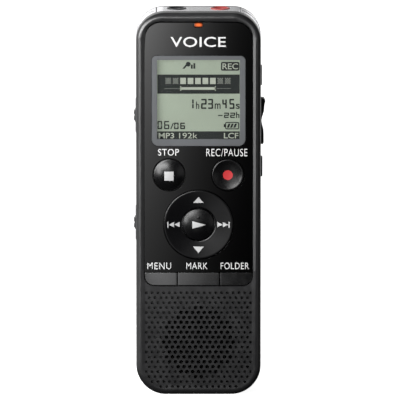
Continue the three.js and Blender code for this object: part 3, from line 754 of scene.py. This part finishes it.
def pale_marks():
    marks = []
    for n in range(2, 7):
        middle = METER_X + n * METER_PITCH
        marks.append(block(middle - 0.84, middle + 0.84, PALE_Y, DARK_Y, 92.72, 94.58))
    for x0, x1, z0, z1 in (
        (-5.4, 5.16, 91.02, 91.78), (-5.4, -5.08, 90.72, 92.1), (4.84, 5.16, 90.72, 92.1),
    ):
        marks.append(block(x0, x1, PALE_Y, DARK_Y, z0, z1))
    for text, x0, x1, z0, z1, bold in (
        ("REC", 7.05, 11.65, 97.12, 98.9, 0.01),
        ("MP3", -11.75, -7.2, 76.5, 78.15, 0.012),
        ("192k", -5.7, -0.3, 76.5, 78.15, 0.0),
        ("LCF", 7.5, 11.75, 76.5, 78.15, 0.012),
    ):
        marks.append(lettering(text, x0, x1, z0, z1, DARK_Y, bold=bold))
    return together(marks)


def dim_marks():
    marks = []
    for n in (0, 1, 7, 8):
        left, low = METER_X + n * METER_PITCH - 0.8, 92.76
        for row in range(5):
            for column in range(row % 2, 5, 2):
                x, z = left + column * 0.32, low + row * 0.36
                marks.append(block(x, x + 0.31, PALE_Y, DARK_Y, z, z + 0.35))
    for start, count in ((-9.95, 11), (5.4, 10)):
        for n in range(count):
            x = start + n * 0.42
            marks.append(block(x, x + 0.26, PALE_Y, DARK_Y, 91.32, 91.46))
    return together(marks)


def screen_tone(name, colour, grain=0.4, blotch=0.06):
    return moulded(name, colour, 0.6, grain=grain, relief=0.0003, blotch=blotch, shine=0.05)


lcd_green = screen_tone("lcd_green", (0.300, 0.346, 0.277), 0.5, 0.05)
edge_and_face = together([
    block(-13.7, 13.7, -7.9, -6.1, 74.6, 101.4),
    block(-12.22, 12.22, GLASS_Y, -7.9, 76.43, 100.07),
])
piece("screen_face", edge_and_face, lcd_green, stands_for=["lcd_glass"])
lcd_dark = screen_tone("lcd_dark", (0.0235, 0.0265, 0.0258), blotch=0.1)
lcd_pale = screen_tone("lcd_pale", (0.37, 0.40, 0.335))
lcd_dim = screen_tone("lcd_dim", (0.235, 0.25, 0.22))
piece("screen_dark_marks", dark_marks(), lcd_dark)
piece("screen_pale_marks", pale_marks(), lcd_pale)
piece("screen_dim_marks", dim_marks(), lcd_dim)


# ---------------------------------------------------------------- Recording lamp
# A small amber lens in the panel, brightest over the LED behind its middle.
def lamp_glow():
    finish = moulded("amber_lens", (0.20, 0.035, 0.008), 0.2, grain=0.5, relief=0.0005)
    nodes, links = finish.node_tree.nodes, finish.node_tree.links
    centre = nodes.new("ShaderNodeMapping")
    centre.vector_type = "TEXTURE"
    dial(centre, Location=(0, -0.0101, 0.11055), Scale=(0.00125, 0.01, 0.0006))
    links.new(place_of(nodes), centre.inputs["Vector"])
    far = nodes.new("ShaderNodeVectorMath")
    far.operation = "LENGTH"
    links.new(centre.outputs[0], far.inputs[0])
    fade = nodes.new("ShaderNodeValToRGB")
    middle, rim = fade.color_ramp.elements
    middle.position, middle.color = 0.35, (1.0, 0.16, 0.012, 1)
    rim.position, rim.color = 0.95, (0.03, 0.006, 0.002, 1)
    links.new(far.outputs["Value"], fade.inputs["Fac"])
    shader = nodes["Principled BSDF"]
    links.new(fade.outputs["Color"], shader.inputs["Emission Color"])
    shader.inputs["Emission Strength"].default_value = 0.85
    return finish


def lamp_lens():
    front = -10.15
    lens = block(-1.25, 1.25, front, -8.8, 109.9, 111.1, 0.55, 0.55, 8)
    round_off(lens, rim_at(lens, front), 0.2, 3)
    return lens


piece("lamp_lens", lamp_lens(), lamp_glow(), stands_for=["indicator_lens"])


# ---------------------------------------------------------------- Round keys
# Stop, record and play: polished black caps on the keypad mat. Stop and play are domed and record
# is dished. Play has a raised dot, so that a thumb can find it.
def turned(profile, x, z, steps=96):
    bm = bmesh.new()
    verts = [bm.verts.new((radius, y, 0)) for radius, y in profile]
    for a, b in zip(verts, verts[1:]):
        bm.edges.new((a, b))
    bmesh.ops.spin(
        bm,
        geom=bm.verts[:] + bm.edges[:],
        cent=(0, 0, 0),
        axis=(0, 1, 0),
        angle=math.tau,
        steps=steps,
        use_merge=True,
    )
    bmesh.ops.remove_doubles(bm, verts=bm.verts, dist=1e-4)
    bmesh.ops.recalc_face_normals(bm, faces=bm.faces)
    bmesh.ops.translate(bm, vec=(x, 0, z), verts=bm.verts)
    return bm


def crown_y(radius, rim, rim_y, middle_y):
    return middle_y + (rim_y - middle_y) * (radius / rim) ** 2


ROUNDING = 0.28


def cap_profile(edge_r, rim_y, middle_y, back):
    rim, drop = edge_r - ROUNDING, 0.3
    curve = [(rim * n / 14, crown_y(rim * n / 14, rim, rim_y, middle_y)) for n in range(15)]
    fillet = [
        (rim + ROUNDING * math.sin(a), rim_y + drop - drop * math.cos(a))
        for a in (math.pi / 8, math.pi / 4, math.pi * 3 / 8, math.pi / 2)
    ]
    return curve + fillet + back


def icon(bm, surface):
    lift, sunk = 0.015, 0.02
    bmesh.ops.triangulate(bm, faces=bm.faces)
    bmesh.ops.subdivide_edges(bm, edges=bm.edges, cuts=3, use_grid_fill=True)
    for v in bm.verts:
        v.co.y = surface(v.co.x, v.co.z) - lift
    thicken(bm, lift + sunk)
    bmesh.ops.recalc_face_normals(bm, faces=bm.faces)
    return bm


def flat_shape(points):
    bm = bmesh.new()
    bm.faces.new([bm.verts.new((x, 0, z)) for x, z in points])
    return bm


# Each cap: its edge's radius, and the height of its rim and of its middle.
STOP_CAP, RECORD_CAP, PLAY_CAP = (4.67, -9.75, -10.8), (4.67, -10.5, -9.75), (4.7, -10.05, -10.83)
flange = [(4.67, -7.75), (5.35, -7.75), (5.35, -7.2), (0, -7.2)]
key_gloss = moulded(
    "key_gloss", (0.0025, 0.0025, 0.0028), 0.27, grain=0.25, relief=0.0002, blotch=0.08
)
mark_white = moulded("mark_white", (0.54, 0.54, 0.54), 0.45, grain=0.2, relief=0.001, blotch=0.03)
mark_red = moulded("mark_red", (0.50, 0.032, 0.036), 0.4, grain=0.2, relief=0.001, blotch=0.05)
stem = [(4.7, -7.0), (2.4, -7.0), (2.4, -5.35), (0, -5.35)]
play_cap = turned(cap_profile(*PLAY_CAP, stem), 0, RING_Z)
dot_profile = [(0, -10.84), (0.2, -10.82), (0.38, -10.74), (0.47, -10.6), (0.47, -10.3), (0, -10.3)]
for word, cap in (
    ("stop", turned(cap_profile(*STOP_CAP, flange), -KEY_X, KEY_Z)),
    ("record", turned(cap_profile(*RECORD_CAP, flange), KEY_X, KEY_Z)),
    ("play", together([play_cap, turned(dot_profile, 0.05, 53.1, 24)])),
):
    node = f"{word}_button"
    piece(f"{word}_key", cap, key_gloss, body=node, stands_for=[node])


def cap_face(cap, centre_x, centre_z):
    edge_r, rim_y, middle_y = cap

    def height(x, z):
        return crown_y(math.hypot(x - centre_x, z - centre_z), edge_r - ROUNDING, rim_y, middle_y)

    return height


stop_face = cap_face(STOP_CAP, -KEY_X, KEY_Z)
record_face = cap_face(RECORD_CAP, KEY_X, KEY_Z)
play_face = cap_face(PLAY_CAP, 0, RING_Z)
square = flat_shape([(-10.08, 64.15), (-7.32, 64.15), (-7.32, 66.9), (-10.08, 66.9)])
piece("stop_mark", icon(square, stop_face), mark_white, body="stop_button")
angles = [n * math.tau / 40 for n in range(40)]
disc = flat_shape([(KEY_X + 1.45 * math.cos(a), 65.72 + 1.45 * math.sin(a)) for a in angles])
piece("record_mark", icon(disc, record_face), mark_red, body="record_button")
arrow = flat_shape([(-1.82, 49.8), (2.18, 50.97), (-1.82, 52.1)])
piece("play_mark", icon(arrow, play_face), mark_white, body="play_button")


# ---------------------------------------------------------------- Four-way ring
# A satin black ring, dished evenly from a raised outer edge down to the play key. It rocks four
# ways on a rubber actuator. Its arrows are printed.
def ring_y(radius):
    inner_y, slope, inner_r, outer_r = -9.7, 0.136, 5.35, 10.0
    return inner_y - slope * (min(radius, outer_r) - inner_r)


def ring_profile():
    radii = [5.35 + 4.65 * n / 12 for n in range(13)]
    inner = [(5.0, -9.5), (5.05, -9.62), (5.18, -9.68)]
    outer = [(10.12, -10.31), (10.22, -10.24), (10.27, -10.12)]
    back = [(10.27, -7.3), (10.55, -7.3), (10.55, -6.95), (5.0, -6.95), (5.0, -9.5)]
    return inner + [(radius, ring_y(radius)) for radius in radii] + outer + back


ring_satin = moulded("ring_satin", (0.003, 0.003, 0.0034), 0.18, grain=0.14, relief=0.0006)
piece(
    "ring",
    turned(ring_profile(), 0, RING_Z, 144),
    ring_satin,
    body="control_ring",
    stands_for=["control_ring"],
)


def ring_face(x, z):
    return ring_y(math.hypot(x, z - RING_Z))


def ring_marks():
    up = [(-1.58, 57.4), (1.58, 57.4), (0, 59.2)]
    down = [(-1.58, 44.35), (0, 42.45), (1.58, 44.35)]
    outlines = [up, down]
    for side in (-1, 1):
        # Two arrow heads and a bar on each side, turned over on the left.
        heads = ((7.15, 5.55), (8.8, 7.2))
        skip = [[(root, 50.15), (tip, 50.93), (root, 51.7)] for tip, root in heads]
        skip.append([(8.85, 50.05), (9.2, 50.05), (9.2, 51.8), (8.85, 51.8)])
        outlines += [[(side * x, z) for x, z in outline[::side]] for outline in skip]
    return together([icon(flat_shape(outline), ring_face) for outline in outlines])


piece("ring_marks", ring_marks(), mark_white, body="control_ring")


# ---------------------------------------------------------------- Key row
# Three flat satin keys side by side under the panel, each with a flange behind the bed that holds
# it in. The outer two carry the bed's rounded corners.
def row_key(x0, x1, left_r, right_r):
    front, low, slices = -10.25, 32.85, 16
    cap = block(x0, x1, front, -7.4, low, 36.5)
    for x, radius in ((x0, left_r), (x1, right_r)):
        if radius:
            corner = edges_where(cap, lambda co: near(co.x, x) and near(co.z, low))
            round_off(cap, corner, radius, 12)
    round_off(cap, rim_at(cap, front), 0.06, 2)
    for n in range(1, slices):
        where = Vector((x0 + (x1 - x0) * n / slices, 0, 0))
        whole = cap.verts[:] + cap.edges[:] + cap.faces[:]
        bmesh.ops.bisect_plane(cap, geom=whole, plane_co=where, plane_no=(1, 0, 0))
    # The face bows back a quarter of a millimetre towards the two ends of the row.
    for v in cap.verts:
        if v.co.y < -9.5:
            v.co.y += 0.25 * (v.co.x / 15.85) ** 2
    return together([cap, block(x0 + 0.15, x1 - 0.15, -7.75, -7.2, 32.05, 37.3)])


row_satin = metal("row_satin", (0.3, 0.3, 0.305), 0.2, grain=0.3, relief=0.00004)
for name, x0, x1, left_r, right_r in (
    ("menu", -15.85, -6.42, 2.8, 0),
    ("mark", -6.12, 6.12, 0, 0),
    ("folder", 6.42, 15.85, 0, 2.8),
):
    piece(
        f"{name}_key",
        row_key(x0, x1, left_r, right_r),
        row_satin,
        body=f"{name}_button",
        stands_for=[f"{name}_button"],
    )


# ---------------------------------------------------------------- Printed words
# White pad-printed words on the panel, a few hundredths thick: a plain title above the window and
# the name of each key.
def words():
    return together([
        lettering(text, x0, x1, z0, z1, PANEL_Y, bold=bold, spacing=spacing)
        for text, x0, x1, z0, z1, bold, spacing in (
            ("VOICE", -8.2, 8.05, 104.0, 107.0, 0.006, 1.04),
            ("STOP", -11.95, -5.75, 71.6, 73.6, 0.004, 1.1),
            ("REC/PAUSE", 2.32, 14.42, 71.4, 73.65, -0.004, 1.12),
            ("MENU", -15.1, -8.05, 37.62, 39.6, 0.0, 1.1),
            ("MARK", -3.6, 2.7, 37.62, 39.6, 0.0, 1.1),
            ("FOLDER", 6.55, 14.9, 37.62, 39.6, 0.0, 1.1),
        )
    ])


print_white = moulded("print_white", (0.74, 0.74, 0.74), 0.5, grain=0.2, relief=0.001, blotch=0.03)
piece("printed_words", words(), print_white)


# ---------------------------------------------------------------- Top cap
# Bright silver-plated plastic: a flat jack plate between two corner trims. Each trim has a slit
# along its curve that lets sound through to a microphone.
def cap_band():
    front, wall = -5.9, 1.2
    band = body_block(0, front, 3.4, 20)
    round_off(band, rim_at(band, front), 0.22, 3)
    return carve(band, body_block(wall, -8, 6, 20), block(-22, 22, -8, 6, -2, 103.4))


# Everything on the outer side of an upright seam, to cut a plate or a trim to its end.
def beyond(x, low, high):
    return block(-22, x, -8, 6, low, high) if x < 0 else block(x, 22, -8, 6, low, high)


JACK_X = 6.46


def jack_plate():
    plate = carve(cap_band(), beyond(-12.3, 90, 118), beyond(12.3, 90, 118))
    holes = bmesh.new()
    for x in (-JACK_X, JACK_X):
        rod(holes, 3.02, 6, Matrix.Translation((x, 0, 113)), 64)
    return carve(plate, holes)


def microphone_trim(side):
    x, z = side * 10.2, 105.8
    inner = {-1: block(-12.5, 22, -8, 6, 90, 118), 1: block(-22, 12.5, -8, 6, 90, 118)}
    trim = carve(cap_band(), inner[side])
    slot = carve(peg(x, z, 10, -1.95, -1.05, 96), peg(x, z, 6.4, -3, 0, 96))
    middle = block(-12.9, 22, -8, 6, 80, 120) if side < 0 else block(-22, 12.9, -8, 6, 80, 120)
    return carve(trim, carve(slot, block(-22, 22, -8, 6, 80, 106.9), middle))


silver = metal("silver_plating", (0.93, 0.93, 0.95), 0.22, grain=0.25, relief=0.0001)
piece("jack_plate_plated", jack_plate(), silver, stands_for=["jack_plate"], edge=0.1)
for side, word in ((-1, "left"), (1, "right")):
    piece(
        f"microphone_trim_{word}",
        microphone_trim(side),
        silver,
        stands_for=[f"mic_trim_{word}"],
        edge=0.1,
    )


# ---------------------------------------------------------------- Jack collars
# Moulded rings round the two 3.5 mm jacks, black for headphones and red for a microphone,
# standing a little proud of the plate with funnel mouths.
def upright(bm, x, y, z):
    bmesh.ops.rotate(bm, matrix=Matrix.Rotation(-math.pi / 2, 3, "X"), verts=bm.verts)
    bmesh.ops.translate(bm, vec=(x, y, z), verts=bm.verts)
    return bm


def jack_collar(x):
    funnel = [(2.4, -114.2), (2.25, -114.14), (1.95, -113.85), (1.83, -113.6), (1.8, -113.4)]
    outside = [(1.8, -111.9), (2.9, -111.9), (2.9, -114.05), (2.85, -114.15), (2.75, -114.2)]
    return upright(turned(outside + funnel + [(1.8, -111.9)], 0, 0, 72), x, 0, 0)


collar_black = moulded("collar_black", (0.02, 0.02, 0.022), 0.3, grain=0.2, relief=0.001)
collar_red = moulded("collar_red", (0.42, 0.06, 0.055), 0.3, grain=0.2, relief=0.001, blotch=0.06)
for word, x, finish, slot in (
    ("headphone", -JACK_X, collar_black, "jack_black"),
    ("microphone", JACK_X, collar_red, "jack_red"),
):
    piece(f"collar_{word}", jack_collar(x), finish, stands_for=[f"{word}_collar"])


# ---------------------------------------------------------------- Side controls
# Black moulded caps: on the left two sliders, each with a grooved ridge for a finger, and on the
# right a volume rocker with two lobes between two small keys. Each has a flange inside the wall.
def side_cap(outline, front, back):
    bm = flat_shape(outline)
    bmesh.ops.translate(bm, vec=(0, front, 0), verts=bm.verts)
    thicken(bm, back - front)
    bmesh.ops.recalc_face_normals(bm, faces=bm.faces)
    return bm


def inner_flange(x0, x1, z0, z1):
    return block(x0, x1, -3.2, 1.2, z0, z1)


def slider(z):
    wall, ridge, groove = -18.6, -19.08, -18.8
    rising = [(-16.5, 5), (wall, 5), (wall, 1.9), (ridge, 1.2), (ridge, 0.6)]
    falling = [(x, -rise) for x, rise in rising[::-1]]
    outline = [(x, z + rise) for x, rise in rising + [(groove, 0)] + falling]
    return together([side_cap(outline, -2.4, 0.4), inner_flange(-16.7, -16.0, z - 5, z + 5)])


def volume_rocker():
    lower = [(16.2, 73.8), (19.0, 73.8), (19.2, 73.95), (19.27, 74.3), (19.26, 76.6), (19.2, 77.8)]
    waist = [(19.0, 78.6), (18.8, 79.3), (18.66, 80.0), (18.62, 80.65), (18.66, 81.3)]
    upper = [(18.82, 82.0), (19.05, 82.7), (19.28, 83.4), (19.4, 84.2), (19.46, 85.2)]
    end = [(19.55, 85.9), (19.74, 86.4), (19.7, 86.75), (19.45, 87.2), (19.15, 87.5), (16.2, 87.5)]
    cap = side_cap(lower + waist + upper + end, -2.6, 0.6)
    return together([cap, inner_flange(15.7, 16.4, 73.8, 87.5)])


def side_key(z, proud):
    cap = block(16.5, 18.4 + proud, -2.4, 0.4, z - 2.95, z + 2.95)
    return together([cap, inner_flange(16.0, 16.7, z - 3.45, z + 3.45)])


side_plastic = moulded("side_plastic", (0.040, 0.040, 0.042), 0.42, grain=0.14, relief=0.006)
for name, cap, node, edge in (
    ("slider_hold", slider(82.3), "hold_slider", 0.15),
    ("slider_speed", slider(50.2), "speed_slider", 0.15),
    ("rocker", volume_rocker(), "volume_rocker", 0.22),
    ("side_key_upper", side_key(94.25, 0.35), "upper_side_button", 0.25),
    ("side_key_lower", side_key(67.0, 0.5), "lower_side_button", 0.25),
):
    piece(name, cap, side_plastic, body=node, stands_for=[node], edge=edge)


# ---------------------------------------------------------------- Cells and springs
# Two AAA cells in printed jackets with steel ends, held in the tub by conical coil springs and
# plated contact plates.
CELL_H, CELL_Y = 44.5, 3.6


def cell(x, bottom, nub_up):
    base = [(0, 0.15), (3.6, 0.15), (3.8, 0.0), (4.7, 0.0), (5.05, 0.12), (5.22, 0.45)]
    shoulder = [(5.22, 43.2), (5.1, 43.5), (4.7, 43.68), (2.4, 43.68), (2.3, 43.5)]
    nub = [(1.9, 43.5), (1.88, 44.4), (1.7, CELL_H), (0, CELL_H)]
    ends = base + shoulder + nub
    if not nub_up:
        ends = [(radius, CELL_H - h) for radius, h in ends][::-1]
    return upright(turned([(radius, -h) for radius, h in ends], 0, 0, 64), x, CELL_Y, bottom)


def jacket(name, bottom, nub_up):
    finish = moulded(name, (0.05, 0.07, 0.11), 0.28, grain=0.4, relief=0.001)
    tree = finish.node_tree
    nodes, links = tree.nodes, tree.links
    shader = nodes["Principled BSDF"]
    z = position(tree, "Object")["Z"]
    levels = (0.0, 1.0) if nub_up else (1.0, 0.0)
    bands = remap(tree, z, bottom / 1000, (bottom + CELL_H) / 1000, *levels, "LINEAR")
    ramp = nodes.new("ShaderNodeValToRGB")
    ramp.color_ramp.interpolation = "CONSTANT"
    stops = ((0.0, (0.6, 0.6, 0.6)), (0.012, (0.02, 0.025, 0.035)), (0.7, (0.5, 0.36, 0.12)))
    stops += ((0.72, (0.55, 0.25, 0.05)), (0.972, (0.62, 0.62, 0.62)))
    made = ramp.color_ramp.elements
    for height, colour in stops:
        stop = made.new(height) if height else made[0]
        stop.color = (*colour, 1)
    made.remove(made[-1])
    links.new(bands, ramp.inputs["Fac"])
    links.new(ramp.outputs["Color"], shader.inputs["Base Color"])
    shader.inputs["Metallic"].default_value = 0.85
    return finish


def coil_spring(x, foot, tip):
    foot_r, tip_r, turns, steps = 3.6, 2.2, 3, 96
    path = bpy.data.curves.new("coil", "CURVE")
    path.dimensions = "3D"
    path.bevel_depth = 0.25
    path.bevel_resolution = 3
    path.use_fill_caps = True
    wire = path.splines.new("POLY")
    wire.points.add(steps)
    for n, point in enumerate(wire.points):
        t = n / steps
        radius, turn = foot_r + (tip_r - foot_r) * t, math.tau * turns * t
        across, through = radius * math.cos(turn), radius * math.sin(turn)
        point.co = (x + across, CELL_Y + through, foot + (tip - foot) * t, 1)
    return curve_shape(path)


CELL_X = 5.45
for word, x, bottom, nub_up in (("left", -CELL_X, 17.7, True), ("right", CELL_X, 14.7, False)):
    piece(
        f"cell_{word}",
        cell(x, bottom, nub_up),
        jacket(f"jacket_{word}", bottom, nub_up),
        stands_for=[f"battery_cell_{word}"],
    )
for word, x, foot, tip in (("lower", -CELL_X, 14.95, 17.25), ("upper", CELL_X, 62.05, 59.75)):
    replaced = [f"battery_spring_{word}"]
    piece(f"spring_{word}", coil_spring(x, foot, tip), nickel, stands_for=replaced)


# ---------------------------------------------------------------- Parts kept as made
# The socket shell, contacts, switches, board, chips, speaker and rubber parts keep their solid
# shapes. They get their own finishes: plated steel, rubber, solder mask with copper tracks, cloth
# and so on. The socket shell's steel carries painted shade inside its mouth.
def solder_mask():
    finish = moulded("solder_mask", (0.008, 0.06, 0.028), 0.3, grain=0.6, relief=0.002)
    nodes, links = finish.node_tree.nodes, finish.node_tree.links
    tracks = nodes.new("ShaderNodeTexBrick")
    dial(tracks, Scale=420, Mortar_Size=0.06, Mortar=(0.03, 0.16, 0.07, 1))
    dial(tracks, Color1=(0.006, 0.05, 0.022, 1), Color2=(0.009, 0.065, 0.03, 1))
    turn = nodes.new("ShaderNodeMapping")
    turn.inputs["Rotation"].default_value = (math.pi / 2, 0, 0)
    links.new(place_of(nodes), turn.inputs["Vector"])
    links.new(turn.outputs[0], tracks.inputs["Vector"])
    links.new(tracks.outputs["Color"], nodes["Principled BSDF"].inputs["Base Color"])
    return finish


def speaker_cloth():
    finish = moulded("speaker_cloth_weave", (0.006, 0.006, 0.006), 0.9, grain=0.3, relief=0.01)
    tree = finish.node_tree
    threads = []
    for direction in ("X", "Z"):
        wave = tree.nodes.new("ShaderNodeTexWave")
        wave.bands_direction = direction
        wave.inputs["Scale"].default_value = 1100
        tree.links.new(place_of(tree.nodes), wave.inputs["Vector"])
        threads.append(wave.outputs["Fac"])
    bump = next(n for n in tree.nodes if n.type == "BUMP")
    tree.links.new(arithmetic(tree, "MULTIPLY", *threads), bump.inputs["Height"])
    return finish


def port_steel():
    finish = metal("port_steel", (0.6, 0.6, 0.6), 0.25, stretch=(6, 1, 1))
    tree = finish.node_tree
    base = tree.nodes["Principled BSDF"].inputs["Base Color"]
    tint = next(link for link in tree.links if link.to_socket == base).from_socket
    # Painted shade: the steel's colour darkens inwards from the mouth, standing in for the shade
    # inside a deep narrow box.
    mouth, inside = -0.0181, -0.0165
    depth = remap(tree, position(tree, "Object")["X"], mouth, inside, 1.0, 0.03, "LINEAR")
    painted_shade = tree.nodes.new("ShaderNodeVectorMath")
    painted_shade.operation = "SCALE"
    tree.links.new(tint, painted_shade.inputs[0])
    tree.links.new(depth, painted_shade.inputs["Scale"])
    tree.links.new(painted_shade.outputs[0], base)
    return finish


rubber = moulded("silicone", (0.03, 0.03, 0.032), 0.75, grain=0.2, relief=0.004)
milky = moulded("milky_plastic", (0.72, 0.72, 0.69), 0.5, grain=0.3, relief=0.001, blotch=0.04)
chip_black = moulded("chip_black", (0.012, 0.012, 0.013), 0.55, grain=0.1, relief=0.006)
plated = metal("plated_steel", (0.6, 0.6, 0.6), 0.25, stretch=(1, 1, 6))
for finish, names in (
    (border_print, ["lcd_frame"]),
    (milky, ["light_guide", "indicator_led"]),
    (rubber, ["ring_actuator", "keypad_mat", "mic_boot_left", "mic_boot_right", "speaker_cone"]),
    (plated, ["dome_sheet", "contact_bridge", "contact_tab_positive", "contact_tab_negative"]),
    (plated, ["speaker_frame"]),
    (nickel, ["mic_capsule_left", "mic_capsule_right", "speaker_magnet"]),
    (port_steel(), ["usb_socket"]),
    (speaker_cloth(), ["speaker_cloth"]),
    (collar_black, ["headphone_socket", "microphone_socket"]),
    (chip_black, ["hold_switch", "speed_switch", "volume_switch"]),
    (chip_black, ["upper_side_switch", "lower_side_switch", "processor_chip", "memory_chip"]),
    (solder_mask(), ["main_board"]),
):
    for name in names:
        for one in bpy.data.objects[name].material_slots:
            one.material = finish
